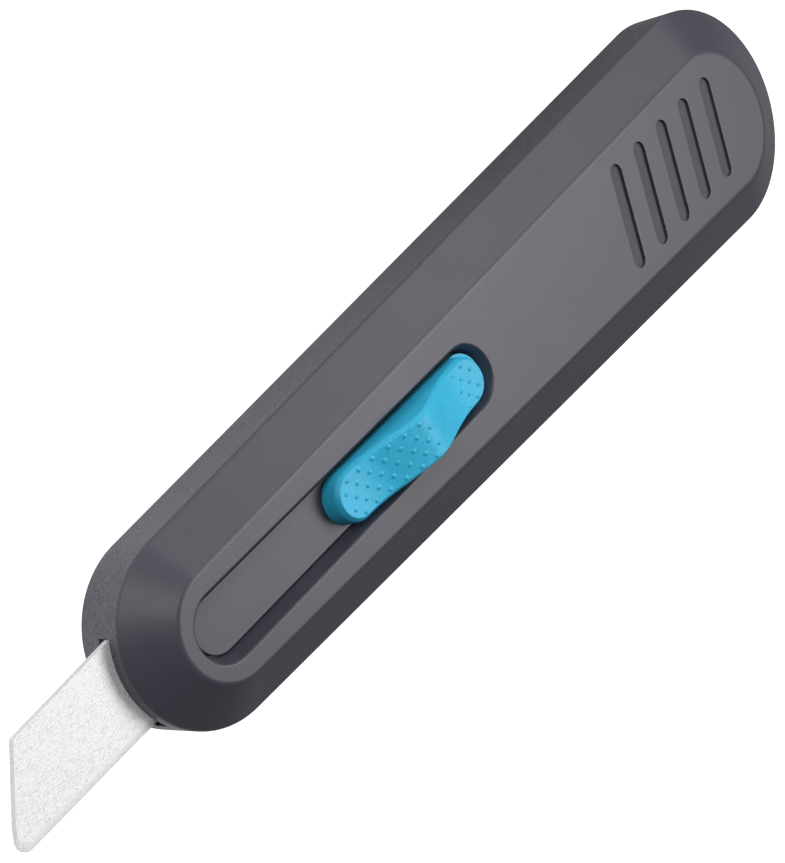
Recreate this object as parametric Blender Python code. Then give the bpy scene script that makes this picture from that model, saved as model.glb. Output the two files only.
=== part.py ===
"""Retractable utility knife with a ceramic blade and a thumb slider, built as separate pieces.

Constants are in millimetres and the scene is in metres. +X points out of the nose along the blade,
+Y is the cutting-edge side and +Z is the thumb side. Stations along X are counted from the middle
of the housing, and Z from the flat underside. The scene's origin is under the middle of the whole
knife, blade included, so every station moves back by half of what the blade sticks out.
"""

import math

import bmesh
import bpy

MM = 0.001

# Housing: each level is the hull of a rear circle and a smaller front circle.
BODY_LENGTH = 155.0
RIM_REAR_R = 17.8
RIM_FRONT_R = 13.1
FACE_REAR_X = -57.7
FACE_REAR_R = 11.0
FACE_FRONT_X = 64.1
FACE_FRONT_R = 7.5
CHAMFER_H = 4.46
SIDE_H = 7.69
CHAMFER_RUN = 6.1
RIM_FILLET = 0.5
FACE_FILLET = 1.2
WALL = 2.4
JOINT_GAP = 0.14

Z_SEAM = CHAMFER_H
Z_RIM = CHAMFER_H + SIDE_H
Z_FACE = Z_RIM + CHAMFER_H
Z_CEILING = Z_FACE - 3.2
Z_INNER_FLOOR = 2.2
NOSE_X = BODY_LENGTH / 2

# Thumb slot and the track plate that closes its floor.
SLOT_REAR_X = 12.5
SLOT_FRONT_X = 64.7
SLOT_FACE_R = 4.75
SLOT_FOOT_R = 3.9
SLOT_DEPTH = 2.2
SLOT_FILLET = 0.35
HAIRLINE = 0.2
Z_TRACK = Z_FACE - SLOT_DEPTH
TRACK_FLANGE_Z = (12.6, 13.2)
TRACK_FLANGE_X = (-8.0, 72.8)
TRACK_FLANGE_HALF_W = 5.4
LAND_EDGE = 0.12
STEM_SLOT_X = (9.3, 41.8)
STEM_SLOT_HALF_W = 1.7

# Blade, and the slot in the nose that it leaves by.
BLADE_TIP_X = 99.6
BLADE_LENGTH = 61.5
BLADE_EDGE_Y = 5.58
BLADE_SPINE_Y = -6.62
BLADE_SPINE_TIP = (92.5, -6.07)
BLADE_TAPER_X = 75.0
BLADE_CORNER_R = 1.5
BLADE_Z = (9.05, 10.05)
BLADE_BEVEL = 1.1
BLADE_EDGE_T = 0.24
BLADE_HOLE_R = 1.25
EXIT_HALF_W = 6.85
EXIT_Z = (8.05, 10.3)

# Thumb slider: pad outline, and the pad's height above the housing's face along its length.
PAD_REAR_X = 13.3
PAD_FRONT_X = 38.5
PAD_FOOT_FRONT_X = 38.85
PAD_R = 3.55
PAD_BEVEL_IN = 0.5
PAD_BEVEL_DROP = 0.7
PAD_DRAFT = 0.045
PAD_PROFILE = (
    (10.0, 0.55), (13.5, 0.65), (16.5, 1.15), (20.0, 2.4), (24.0, 4.1), (26.0, 4.55),
    (28.0, 4.1), (31.3, 2.7), (34.3, 1.35), (37.5, 0.72), (42.1, 0.8),
)
LEDGE_R = 3.6
LEDGE_REAR_X = 12.35
LEDGE_H = 0.75
SLIDER_LIFT = 0.15
STEM_X = (9.6, 16.0)
STEM_HALF_W = 1.4
STEM_FOOT_Z = 12.45

# Inner mechanism.
SHOE_X = (-2.0, 18.0)
SHOE_HALF_W = 4.8
SHOE_Z = (11.1, 12.3)
SHOE_SCREW_X = 12.8
SHOE_PEG_X = -0.8
SHOE_PEG_Z = (10.6, 12.0)
SHOE_POCKET_HALF_W = 1.7
SHOE_POCKET_Z = 11.9
SHOE_PEG_R = 0.5
FINGER_BASE_Z = 10.8
FINGER_T = 0.3
CARRIER_X = (24.0, 71.3)
CARRIER_HALF_W = 7.6
CARRIER_Z = (7.3, 8.9)
RAIL_TOP_Z = 9.9
SPINE_RAIL_X = 45.0
EDGE_RAIL_X = 40.0
RAIL_FRONT_X = 69.0
CLAMP_POST_R = 1.7
CARRIER_PEG_BOTTOM_Z = 4.6
PEG_X = (64.1, 69.6)
PEG_Y = -0.5
PEG_R = 1.0
PEG_Z = (7.85, 10.1)
CLAMP_X = (39.4, 70.6)
CLAMP_Y = (-6.3, 5.2)
CLAMP_Z = (10.25, 10.9)
CLAMP_SCREW = (41.3, -4.5)
CLAMP_ARM_X = 52.4
CLAMP_ARM_Y = -2.2
DRIVE_STEP_X = (37.2, 38.4)
DRIVE_STEP_Y = (2.2, 5.6)
DRIVE_STEP_TOP_Z = 10.05
LANE_Y = 3.4
LATCH_BASE_Z = 3.45
LATCH_NOSE_Z = 8.45
LATCH_T = 0.4
PIN_X = -38.0
PIN_R = 0.6
SPRING_WIRE_R = 0.2
SLIDER_SPRING_Z = 11.0
SLIDER_SPRING_R = 0.6
CARRIER_SPRING_Z = 5.6
CARRIER_SPRING_R = 1.35
CARRIER_PEG_X = 26.5

HOUSING_SCREWS = ((-63.0, 0.0), (-26.0, 7.0), (-26.0, -7.0))
SCREW_R = 1.0
SCREW_HEAD_R = 2.2
SCREW_HEAD_Z = (0.3, 1.4)
SCREW_TIP_Z = 11.4
SOCKET_R = 1.05
SOCKET_TOP_Z = 1.0
SMALL_SCREW_R = 0.6
SMALL_HEAD_R = 1.3
SMALL_HOLE_R = 0.75
TRACK_SCREWS_X = (-5.0, 70.9)
TRACK_SCREW_Z = (12.0, 12.45, 15.0)
SLIDER_SCREW_Z = (11.1, 11.6, 15.3)
SLIDER_PIN_Z = (9.4, 14.3)
CARRIER_PIN_Z = (1.3, 6.6)
RIVET_R = 0.5
RIVET_HEAD_R = 1.0
RIVET_HEAD_T = 0.3
RIVET_HOLE_R = 0.65
FINGER_RIVET_X = 0.2
FINGER_RIVET_Z = 10.2
LATCH_RIVET_X = 1.6
LATCH_RIVET_Z = 4.15
LEAF_HALF_W = 1.1

# Inner faces of the two shells, and what is moulded into them.
CAVITY_DRAFT = 1.8
GUIDE_X = (-6.0, 66.0)
GUIDE_Y = (0.4, 1.4)
BOSS_R = 3.0
PIN_BOSS_R = 2.2
PILOT_TOP_Z = 11.8
LIP_Z = (3.4, 6.2)
LIP_CLEARANCE = 0.3
RIB_X = (-6.0, 67.0)
RIB_Y = 5.9
RIB_HALF_W = 0.5
RIB_TOP_Z = 7.0
ROOT_Z = 1.6
COUNTERBORE_TOP_Z = 1.6

# Generic sunk grip bars where a thumb rests behind the slot.
BAR_CENTRE_X = -43.0
BAR_COUNT = 5
BAR_PITCH = 6.6
BAR_HALF_LENGTH = 6.6
BAR_HALF_W = 1.25
BAR_SLANT = math.radians(18)
BAR_DEPTH = 0.45

CLEARANCE = 0.3
SNUG = 0.15
SHELL_ARC = 28
SMALL_ARC = 12
ROUND = 20
OVERSHOOT = 1.0
STEP = 0.01
SHIFT_X = -(BLADE_TIP_X - NOSE_X) / 2


# ---------------------------------------------------------------- scene and materials

def clear_scene():
    for obj in list(bpy.data.objects):
        bpy.data.objects.remove(obj)


def make_material(name, rgb, roughness, metallic=0.0):
    mat = bpy.data.materials.new(name)
    mat.use_nodes = True
    shader = mat.node_tree.nodes["Principled BSDF"]
    shader.inputs["Base Color"].default_value = (*rgb, 1.0)
    shader.inputs["Roughness"].default_value = roughness
    shader.inputs["Metallic"].default_value = metallic
    return mat


def body_empty(name, x, y, z):
    empty = bpy.data.objects.new(name, None)
    empty.location = ((x + SHIFT_X) * MM, y * MM, z * MM)
    bpy.context.collection.objects.link(empty)
    return empty


# ---------------------------------------------------------------- outlines and profiles

def arc(cx, cy, r, start, end, steps):
    angles = (start + (end - start) * i / steps for i in range(steps + 1))
    return [(cx + r * math.cos(a), cy + r * math.sin(a)) for a in angles]


def hull_outline(rear_x, rear_r, front_x, front_r, steps=SMALL_ARC):
    """Two circles and their outer tangents, counter-clockwise from the front circle's right side."""
    turn = math.acos((rear_r - front_r) / (front_x - rear_x))
    front = arc(front_x, 0.0, front_r, -turn, turn, steps)
    rear = arc(rear_x, 0.0, rear_r, turn, 2 * math.pi - turn, steps)
    return front + rear


def rectangle(x0, x1, y0, y1, r=0.0, steps=3):
    if r == 0.0:
        return [(x0, y0), (x1, y0), (x1, y1), (x0, y1)]
    corners = ((x0 + r, y0 + r, math.pi), (x1 - r, y0 + r, 1.5 * math.pi),
               (x1 - r, y1 - r, 2 * math.pi), (x0 + r, y1 - r, 2.5 * math.pi))
    points = []
    for cx, cy, start in corners:
        points += arc(cx, cy, r, start, start + math.pi / 2, steps)
    return points


def circle(x, y, r, steps=ROUND):
    return arc(x, y, r, 0.0, 2 * math.pi, steps)[:-1]


def fillet(before, corner, after, r, steps=3):
    """Points of the arc of radius r that rounds a corner between two straight runs."""
    ax, ay = before[0] - corner[0], before[1] - corner[1]
    bx, by = after[0] - corner[0], after[1] - corner[1]
    a, b = math.hypot(ax, ay), math.hypot(bx, by)
    ax, ay, bx, by = ax / a, ay / a, bx / b, by / b
    half = math.acos(ax * bx + ay * by) / 2
    reach = r / math.tan(half)
    mx, my = ax + bx, ay + by
    m = math.hypot(mx, my)
    cx, cy = corner[0] + mx / m * r / math.sin(half), corner[1] + my / m * r / math.sin(half)
    start = math.atan2(corner[1] + ay * reach - cy, corner[0] + ax * reach - cx)
    end = math.atan2(corner[1] + by * reach - cy, corner[0] + bx * reach - cx)
    if end - start > math.pi:
        end -= 2 * math.pi
    if start - end > math.pi:
        end += 2 * math.pi
    return arc(cx, cy, r, start, end, steps)


def housing_level(inset):
    """The housing's outline, moved in from the rim towards the flat face by the chamfer's rule."""
    t = inset / CHAMFER_RUN
    rear_x = -NOSE_X + RIM_REAR_R
    front_x = NOSE_X - RIM_FRONT_R
    return hull_outline(
        rear_x + (FACE_REAR_X - rear_x) * t, RIM_REAR_R + (FACE_REAR_R - RIM_REAR_R) * t,
        front_x + (FACE_FRONT_X - front_x) * t, RIM_FRONT_R + (FACE_FRONT_R - RIM_FRONT_R) * t,
        SHELL_ARC)


def housing_offset(distance):
    """The rim outline moved inwards by the same distance all round."""
    return hull_outline(-NOSE_X + RIM_REAR_R, RIM_REAR_R - distance,
                        NOSE_X - RIM_FRONT_R, RIM_FRONT_R - distance, SHELL_ARC)


def slot_outline(r):
    return hull_outline(SLOT_REAR_X, r, SLOT_FRONT_X, r - 1e-4, SMALL_ARC)


def smooth_height(x):
    """Pad height at station x: a Catmull-Rom curve through the profile's points."""
    points = PAD_PROFILE
    x = min(max(x, points[0][0]), points[-1][0])
    i = max(k for k in range(len(points) - 1) if points[k][0] <= x)
    p0, p1 = points[max(i - 1, 0)], points[i]
    p2, p3 = points[i + 1], points[min(i + 2, len(points) - 1)]
    span = p2[0] - p1[0]
    t = (x - p1[0]) / span
    m1 = (p2[1] - p0[1]) / (p2[0] - p0[0]) * span
    m2 = (p3[1] - p1[1]) / (p3[0] - p1[0]) * span
    t2, t3 = t * t, t * t * t
    return ((2 * t3 - 3 * t2 + 1) * p1[1] + (t3 - 2 * t2 + t) * m1
            + (3 * t2 - 2 * t3) * p2[1] + (t3 - t2) * m2)


# ---------------------------------------------------------------- solids

def new_object(name, bm):
    bmesh.ops.recalc_face_normals(bm, faces=bm.faces)
    mesh = bpy.data.meshes.new(name)
    bm.to_mesh(mesh)
    bm.free()
    obj = bpy.data.objects.new(name, mesh)
    bpy.context.collection.objects.link(obj)
    return obj


def loft(name, rings):
    """A closed solid through rings of equal length; each ring is a list of (x, y, z)."""
    bm = bmesh.new()
    loops = [[bm.verts.new([c * MM for c in point]) for point in ring] for ring in rings]
    count = len(loops[0])
    for low, high in zip(loops, loops[1:]):
        for i in range(count):
            j = (i + 1) % count
            bm.faces.new((low[i], low[j], high[j], high[i]))
    bm.faces.new(list(reversed(loops[0])))
    bm.faces.new(loops[-1])
    return new_object(name, bm)


def flat(outline, z):
    return [(x, y, z) for x, y in outline]


def prism(name, outline, z0, z1):
    return loft(name, [flat(outline, z0), flat(outline, z1)])


def box(name, x0, x1, y0, y1, z0, z1):
    return prism(name, rectangle(x0, x1, y0, y1), z0, z1)


def cylinder(name, x, y, z0, z1, r, steps=ROUND):
    return prism(name, circle(x, y, r, steps), z0, z1)


def turned(name, x, y, profile, steps=ROUND):
    """A solid of revolution about a vertical axis; profile is a list of (radius, z)."""
    return loft(name, [flat(circle(x, y, r, steps), z) for r, z in profile])


def combine(obj, tool, operation):
    """Adds or cuts tool, then removes it."""
    modifier = obj.modifiers.new(operation, "BOOLEAN")
    modifier.operation = operation
    modifier.object = tool
    modifier.solver = "EXACT"
    graph = bpy.context.evaluated_depsgraph_get()
    mesh = bpy.data.meshes.new_from_object(obj.evaluated_get(graph))
    obj.modifiers.clear()
    obj.data = mesh
    bpy.data.objects.remove(tool)


def add(obj, *tools):
    for tool in tools:
        combine(obj, tool, "UNION")


def cut(obj, *tools):
    for tool in tools:
        combine(obj, tool, "DIFFERENCE")


def finish(obj, mat, body, origin, sharp=35):
    """Gives a piece its material, shading and own origin, and hangs it on its body's empty."""
    x, y, z = (origin[0] + SHIFT_X) * MM, origin[1] * MM, origin[2] * MM
    for vertex in obj.data.vertices:
        vertex.co.x += SHIFT_X * MM - x
        vertex.co.y -= y
        vertex.co.z -= z
    obj.parent = body
    obj.location = (x - body.location.x, y - body.location.y, z - body.location.z)
    obj.data.materials.clear()
    obj.data.materials.append(mat)
    obj.data.shade_smooth()
    obj.data.set_sharp_from_angle(angle=math.radians(sharp))
    return obj


# ---------------------------------------------------------------- housing

def upper_shell(mat, body):
    corners = ((0.0, Z_SEAM), (0.0, Z_RIM), (CHAMFER_RUN, Z_FACE), (CHAMFER_RUN + 9.0, Z_FACE))
    profile = [(0.0, Z_SEAM + JOINT_GAP / 2)]
    profile += fillet(*corners[:3], RIM_FILLET)
    profile += fillet(*corners[1:], FACE_FILLET, 4)
    shell = loft("upper_shell", [flat(housing_level(inset), z) for inset, z in profile])
    cavity = loft("cavity", [
        flat(housing_offset(WALL), Z_SEAM - OVERSHOOT),
        flat(housing_offset(WALL), Z_RIM - RIM_FILLET),
        flat(housing_offset(WALL + CAVITY_DRAFT), Z_CEILING)])
    cut(shell, cavity)
    add_ceiling_details(shell)
    cut(shell, slot_cutter(), exit_cutter())
    for bar in grip_bars():
        cut(shell, bar)
    return finish(shell, mat, body, (0.0, 0.0, Z_RIM))


def add_ceiling_details(shell):
    """Screw bosses, side guides for the carrier, the spring pin's boss and the small blind holes."""
    root = Z_CEILING + 0.3
    for side in (-1, 1):
        inner, outer = sorted(side * (CARRIER_HALF_W + y) for y in GUIDE_Y)
        add(shell, box("guide", *GUIDE_X, inner, outer, CARRIER_Z[0], root))
    for x, y in HOUSING_SCREWS:
        add(shell, cylinder("boss", x, y, Z_SEAM + CLEARANCE, root, BOSS_R))
        cut(shell, cylinder("pilot", x, y, Z_SEAM - OVERSHOOT, PILOT_TOP_Z, SCREW_R + SNUG))
    pin_top = SLIDER_PIN_Z[1]
    add(shell, cylinder("pin_boss", PIN_X, 0.0, pin_top - 2.2, root, PIN_BOSS_R))
    cut(shell, cylinder("pin_hole", PIN_X, 0.0, Z_RIM - OVERSHOOT, pin_top + CLEARANCE, PIN_R + SNUG,
                        SMALL_ARC))
    for x in TRACK_SCREWS_X:
        cut(shell, cylinder("pilot", x, 0.0, Z_CEILING - OVERSHOOT, TRACK_SCREW_Z[2] + 0.2, SMALL_HOLE_R,
                            SMALL_ARC))


def slot_cutter():
    """The thumb slot: upright at its foot, then leaning outwards to a rounded lip at the face."""
    foot, lip = (SLOT_FOOT_R, Z_TRACK - 0.15), (SLOT_FACE_R, Z_FACE)
    profile = [(SLOT_FOOT_R, Z_CEILING - OVERSHOOT), foot]
    profile += fillet(foot, lip, (SLOT_FACE_R + 5.0, Z_FACE), SLOT_FILLET)
    profile += [(profile[-1][0] + 0.02, Z_FACE + OVERSHOOT)]
    return loft("slot", [flat(slot_outline(r), z) for r, z in profile])


def exit_cutter():
    return box("exit", 60.0, NOSE_X + OVERSHOOT, -EXIT_HALF_W, EXIT_HALF_W, *EXIT_Z)


def grip_bars():
    """Slanted round-ended bars, equally spaced, sunk into the face."""
    bars = []
    for i in range(BAR_COUNT):
        x = BAR_CENTRE_X + (i - (BAR_COUNT - 1) / 2) * BAR_PITCH
        outline = hull_outline(-BAR_HALF_LENGTH, BAR_HALF_W, BAR_HALF_LENGTH, BAR_HALF_W - 1e-4, 8)
        angle = math.pi / 2 - BAR_SLANT
        c, s = math.cos(angle), math.sin(angle)
        turned_outline = [(x + u * c - v * s, u * s + v * c) for u, v in outline]
        bars.append(prism("bar", turned_outline, Z_FACE - BAR_DEPTH, Z_FACE + OVERSHOOT))
    return bars


def lower_shell(mat, body):
    top = Z_SEAM - JOINT_GAP / 2
    start = CHAMFER_RUN * (Z_SEAM - top) / CHAMFER_H
    profile = [(start, top)]
    profile += fillet((start, top), (CHAMFER_RUN, 0.0), (CHAMFER_RUN + 9.0, 0.0), FACE_FILLET, 4)
    profile.reverse()
    shell = loft("lower_shell", [flat(housing_level(inset), z) for inset, z in profile])
    lip_bottom, lip_top = LIP_Z
    add(shell, prism("lip", housing_offset(WALL + LIP_CLEARANCE), lip_bottom, lip_top))
    inner = WALL + 1.5
    cut(shell, loft("cavity", [
        flat(housing_offset(inner + 1.7), Z_INNER_FLOOR),
        flat(housing_offset(inner), lip_bottom + 0.6),
        flat(housing_offset(inner), lip_top + OVERSHOOT)]))
    for y in (-RIB_Y, RIB_Y):
        add(shell, box("rib", *RIB_X, y - RIB_HALF_W, y + RIB_HALF_W, ROOT_Z, RIB_TOP_Z))
    pad_top = LATCH_BASE_Z - LATCH_T / 2 - 0.25
    add(shell, box("latch_pad", -1.0, 5.0, LANE_Y - 1.3, LANE_Y + 1.3, ROOT_Z, pad_top))
    cut(shell, cylinder("rivet_hole", LATCH_RIVET_X, LANE_Y, ROOT_Z, pad_top + OVERSHOOT, RIVET_HOLE_R,
                        SMALL_ARC))
    add(shell, cylinder("pin_boss", PIN_X, 0.0, ROOT_Z, 3.8, PIN_BOSS_R))
    cut(shell, cylinder("pin_hole", PIN_X, 0.0, CARRIER_PIN_Z[0] - CLEARANCE, 5.0, PIN_R + SNUG, SMALL_ARC))
    for x, y in HOUSING_SCREWS:
        add(shell, cylinder("pad", x, y, ROOT_Z, Z_SEAM, BOSS_R + 0.6))
        cut(shell, cylinder("bore", x, y, -OVERSHOOT, LIP_Z[1], SCREW_R + CLEARANCE))
        cut(shell, cylinder("counterbore", x, y, -OVERSHOOT, COUNTERBORE_TOP_Z, SCREW_HEAD_R + SNUG, 24))
    return finish(shell, mat, body, (0.0, 0.0, 0.0))


def track_plate(mat, body):
    rear, front = TRACK_FLANGE_X
    half = TRACK_FLANGE_HALF_W
    plate = prism("track_plate", hull_outline(rear + half, half, front - half, half - 1e-4),
                  *TRACK_FLANGE_Z)
    land_r = SLOT_FOOT_R - HAIRLINE
    add(plate, loft("land", [flat(slot_outline(land_r), TRACK_FLANGE_Z[1] - 0.2),
                             flat(slot_outline(land_r), Z_TRACK - LAND_EDGE),
                             flat(slot_outline(land_r - LAND_EDGE), Z_TRACK)]))
    below, above = TRACK_FLANGE_Z[0] - OVERSHOOT, Z_TRACK + OVERSHOOT
    cut(plate, box("stem_slot", *STEM_SLOT_X, -STEM_SLOT_HALF_W, STEM_SLOT_HALF_W, below, above))
    for x in TRACK_SCREWS_X:
        cut(plate, cylinder("hole", x, 0.0, below, TRACK_FLANGE_Z[1] + CLEARANCE, SMALL_HOLE_R, SMALL_ARC))
    return finish(plate, mat, body, (0.0, 0.0, Z_TRACK))


def housing_screw(index, mat, body):
    """A cap screw from below, with a hexagonal socket and a chamfered head."""
    x, y = HOUSING_SCREWS[index]
    bottom, top = SCREW_HEAD_Z
    profile = ((SCREW_HEAD_R - 0.3, bottom), (SCREW_HEAD_R, bottom + 0.25), (SCREW_HEAD_R, top),
               (SCREW_R, top + STEP), (SCREW_R, SCREW_TIP_Z - 0.8), (0.3, SCREW_TIP_Z))
    screw = turned(f"housing_screw_{index + 1}", x, y, profile)
    cut(screw, cylinder("socket", x, y, -OVERSHOOT, SOCKET_TOP_Z, SOCKET_R, 6))
    return finish(screw, mat, body, (x, y, bottom))


def small_screw(name, x, levels, mat, body):
    """A low-headed screw from below; levels are its head's underside and top, and its tip."""
    bottom, top, tip = levels
    profile = ((SMALL_HEAD_R - 0.2, bottom), (SMALL_HEAD_R, bottom + 0.1), (SMALL_HEAD_R, top),
               (SMALL_SCREW_R, top + STEP), (SMALL_SCREW_R, tip - 0.4), (0.2, tip))
    return finish(turned(name, x, 0.0, profile, SMALL_ARC), mat, body, (x, 0.0, bottom))


# ---------------------------------------------------------------- thumb slider

def pad_outline(front_x, r):
    """Half of the pad's outline, from its front tip to its rear tip, as (x, y)."""
    steps, straight = 12, 14
    span = front_x - PAD_REAR_X
    side = [(front_x - span * k / straight, r) for k in range(1, straight)]
    return (arc(front_x, 0.0, r, 0.0, math.pi / 2, steps) + side
            + arc(PAD_REAR_X, 0.0, r, math.pi / 2, math.pi, steps))


def leaning(x, y, height):
    """A point of the pad's side at a height above the face: the sides draw in with height."""
    return (x, y * (1 - PAD_DRAFT * height / PAD_R), Z_FACE + height)


def pad_body():
    """The raised thumb pad: leaning sides, a bevelled edge, and a top ruled from side to side."""
    foot_h = Z_TRACK + SLIDER_LIFT - Z_FACE
    foot = [leaning(x, y, foot_h) for x, y in pad_outline(PAD_FOOT_FRONT_X, PAD_R)]
    edge = [leaning(x, y, smooth_height(x) - PAD_BEVEL_DROP) for x, y in pad_outline(PAD_FRONT_X, PAD_R)]
    top = [leaning(x, y, smooth_height(x)) for x, y in pad_outline(PAD_FRONT_X, PAD_R - PAD_BEVEL_IN)]
    bm = bmesh.new()
    left, right = [], []
    for ring in (foot, edge, top):
        verts = [bm.verts.new((x * MM, y * MM, z * MM)) for x, y, z in ring]
        mirrored = [bm.verts.new((x * MM, -y * MM, z * MM)) for x, y, z in ring[1:-1]]
        left.append(verts)
        right.append([verts[0], *mirrored, verts[-1]])
    for side in (left, right):
        for low, high in zip(side, side[1:]):
            for i in range(len(low) - 1):
                bm.faces.new((low[i], low[i + 1], high[i + 1], high[i]))
    for a, b in ((left[0], right[0]), (left[-1], right[-1])):
        for i in range(len(a) - 1):
            corners = (a[i], a[i + 1], b[i + 1], b[i])
            bm.faces.new(tuple(dict.fromkeys(corners)))
    return new_object("pad", bm)


def thumb_slider(mat, body):
    z0 = Z_TRACK + SLIDER_LIFT
    ledge = hull_outline(LEDGE_REAR_X, LEDGE_R, PAD_REAR_X + 5.0, LEDGE_R - 1e-4)
    slider = prism("thumb_slider", ledge, z0 + 2 * STEP, z0 + LEDGE_H)
    stem = box("stem", *STEM_X, -STEM_HALF_W, STEM_HALF_W, STEM_FOOT_Z, z0 + LEDGE_H / 2)
    add(slider, pad_body(), stem)
    cut(slider, cylinder("pilot", SHOE_SCREW_X, 0.0, STEM_FOOT_Z - OVERSHOOT, SLIDER_SCREW_Z[2] + 0.2,
                         SMALL_HOLE_R, SMALL_ARC))
    return finish(slider, mat, body, (SHOE_SCREW_X, 0.0, Z_TRACK), 30)


def slider_shoe(mat, body):
    """The plate below the track, with a pocket for the spring's hook around its peg."""
    x0, x1 = SHOE_X
    bottom, top = SHOE_Z
    below, above = bottom - OVERSHOOT, top + OVERSHOOT
    shoe = prism("slider_shoe", rectangle(x0, x1, -SHOE_HALF_W, SHOE_HALF_W, 1.0), bottom, top)
    cut(shoe,
        cylinder("hole", SHOE_SCREW_X, 0.0, below, above, SMALL_HOLE_R, SMALL_ARC),
        cylinder("counterbore", SHOE_SCREW_X, 0.0, below, SLIDER_SCREW_Z[1] + SNUG, SMALL_HEAD_R + SNUG),
        cylinder("rivet_hole", FINGER_RIVET_X, LANE_Y, below, above, RIVET_HOLE_R, SMALL_ARC),
        box("pocket", x0 - OVERSHOOT, SHOE_PEG_X + SHOE_POCKET_HALF_W, -SHOE_POCKET_HALF_W,
            SHOE_POCKET_HALF_W, below, SHOE_POCKET_Z))
    add(shoe, cylinder("peg", SHOE_PEG_X, 0.0, *SHOE_PEG_Z, SHOE_PEG_R, SMALL_ARC))
    return finish(shoe, mat, body, (SHOE_SCREW_X, 0.0, bottom))


def leaf(name, path, thickness, mat, body, hole_x):
    """A bent strip: path is (x, z) along its middle, swept across the lane's width."""
    upper, lower = [], []
    for i, (x, z) in enumerate(path):
        a, b = path[max(i - 1, 0)], path[min(i + 1, len(path) - 1)]
        dx, dz = b[0] - a[0], b[1] - a[1]
        length = math.hypot(dx, dz)
        nx, nz = -dz / length * thickness / 2, dx / length * thickness / 2
        upper.append((x + nx, z + nz))
        lower.append((x - nx, z - nz))
    outline = lower + upper[::-1]
    rings = [[(x, y, z) for x, z in outline] for y in (LANE_Y - LEAF_HALF_W, LANE_Y + LEAF_HALF_W)]
    strip = loft(name, rings)
    hole_z = path[0][1]
    cut(strip, cylinder("hole", hole_x, LANE_Y, hole_z - thickness, hole_z + thickness, RIVET_HOLE_R,
                        SMALL_ARC))
    return finish(strip, mat, body, (hole_x, LANE_Y, hole_z))


def drive_finger(mat, body):
    """Slants down from the shoe to just behind the carrier's step."""
    z = FINGER_BASE_Z
    path = [(-1.2, z), (2.2, z), (3.6, z - FINGER_T), (10.7, 9.5), (11.6, 9.2)]
    return leaf("drive_finger", path, FINGER_T, mat, body, FINGER_RIVET_X)


def rivet(name, x, z_head, direction, length, mat, body):
    z1 = z_head + direction * RIVET_HEAD_T
    profile = [(RIVET_HEAD_R - 0.2, z_head), (RIVET_HEAD_R, z_head + direction * RIVET_HEAD_T / 2),
               (RIVET_HEAD_R, z1), (RIVET_R, z1 + direction * STEP), (RIVET_R, z1 + direction * length)]
    if direction < 0:
        profile.reverse()
    return finish(turned(name, x, LANE_Y, profile, SMALL_ARC), mat, body, (x, LANE_Y, z_head))


# ---------------------------------------------------------------- blade and carrier

def blade_outline(edge_y, steps=5):
    """Top view of the blade with its cutting edge at edge_y, counter-clockwise."""
    tip_x = BLADE_TIP_X + BLADE_CORNER_R
    spine_x, spine_y = BLADE_SPINE_TIP
    slope = (tip_x - spine_x) / (BLADE_EDGE_Y - spine_y)
    front = (tip_x - (BLADE_EDGE_Y - edge_y) * slope, edge_y)
    rear_x = tip_x - BLADE_LENGTH - BLADE_CORNER_R
    rear = (rear_x + (BLADE_EDGE_Y - edge_y) * slope, edge_y)
    heel = (rear_x + (BLADE_EDGE_Y - BLADE_SPINE_Y) * slope, BLADE_SPINE_Y)
    points = fillet(BLADE_SPINE_TIP, front, rear, BLADE_CORNER_R, steps)
    points += fillet(front, rear, heel, BLADE_CORNER_R, steps)
    points += fillet(rear, heel, (BLADE_TAPER_X, BLADE_SPINE_Y), 0.3, 2)
    points += [(BLADE_TAPER_X, BLADE_SPINE_Y)]
    points += fillet((BLADE_TAPER_X, BLADE_SPINE_Y), BLADE_SPINE_TIP, front, 0.3, 2)
    return points


def blade(mat, body):
    z0, z1 = BLADE_Z
    middle = (z0 + z1) / 2
    full = blade_outline(BLADE_EDGE_Y)
    short = blade_outline(BLADE_EDGE_Y - BLADE_BEVEL)
    piece = loft("blade", [flat(short, z0), flat(full, middle - BLADE_EDGE_T / 2),
                           flat(full, middle + BLADE_EDGE_T / 2), flat(short, z1)])
    centre = PEG_X[1]
    for x in (PEG_X[0], centre, 2 * centre - PEG_X[0]):
        cut(piece, cylinder("hole", x, PEG_Y, z0 - 1, z1 + 1, BLADE_HOLE_R))
    return finish(piece, mat, body, (centre, PEG_Y, middle), 20)


def blade_carrier(mat, body):
    """The tray under the blade, with a rail on each side and a step that the finger pushes."""
    x0, x1 = CARRIER_X
    bottom, top = CARRIER_Z
    root = top - 0.4
    outer = CARRIER_HALF_W - 2 * STEP
    tray = prism("blade_carrier", rectangle(x0, x1, -CARRIER_HALF_W, CARRIER_HALF_W, 1.2), bottom, top)
    add(tray,
        box("spine_rail", SPINE_RAIL_X, RAIL_FRONT_X, -outer, BLADE_SPINE_Y - CLEARANCE, root, RAIL_TOP_Z),
        box("edge_rail", EDGE_RAIL_X, RAIL_FRONT_X, BLADE_EDGE_Y + CLEARANCE, outer, root, RAIL_TOP_Z),
        box("drive_step", *DRIVE_STEP_X, *DRIVE_STEP_Y, root, DRIVE_STEP_TOP_Z),
        cylinder("clamp_post", *CLAMP_SCREW, root, CLAMP_Z[0] - SNUG, CLAMP_POST_R),
        cylinder("spring_peg", CARRIER_PEG_X, 0.0, CARRIER_PEG_BOTTOM_Z, bottom + 0.4, PIN_R, SMALL_ARC))
    cut(tray, cylinder("pilot", *CLAMP_SCREW, bottom + 0.5, CLAMP_Z[1], SMALL_HOLE_R, SMALL_ARC))
    for x in PEG_X:
        cut(tray, cylinder("peg_hole", x, PEG_Y, PEG_Z[0] - SNUG, top + OVERSHOOT, PEG_R + SNUG))
    return finish(tray, mat, body, (x0, 0.0, bottom))


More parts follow.
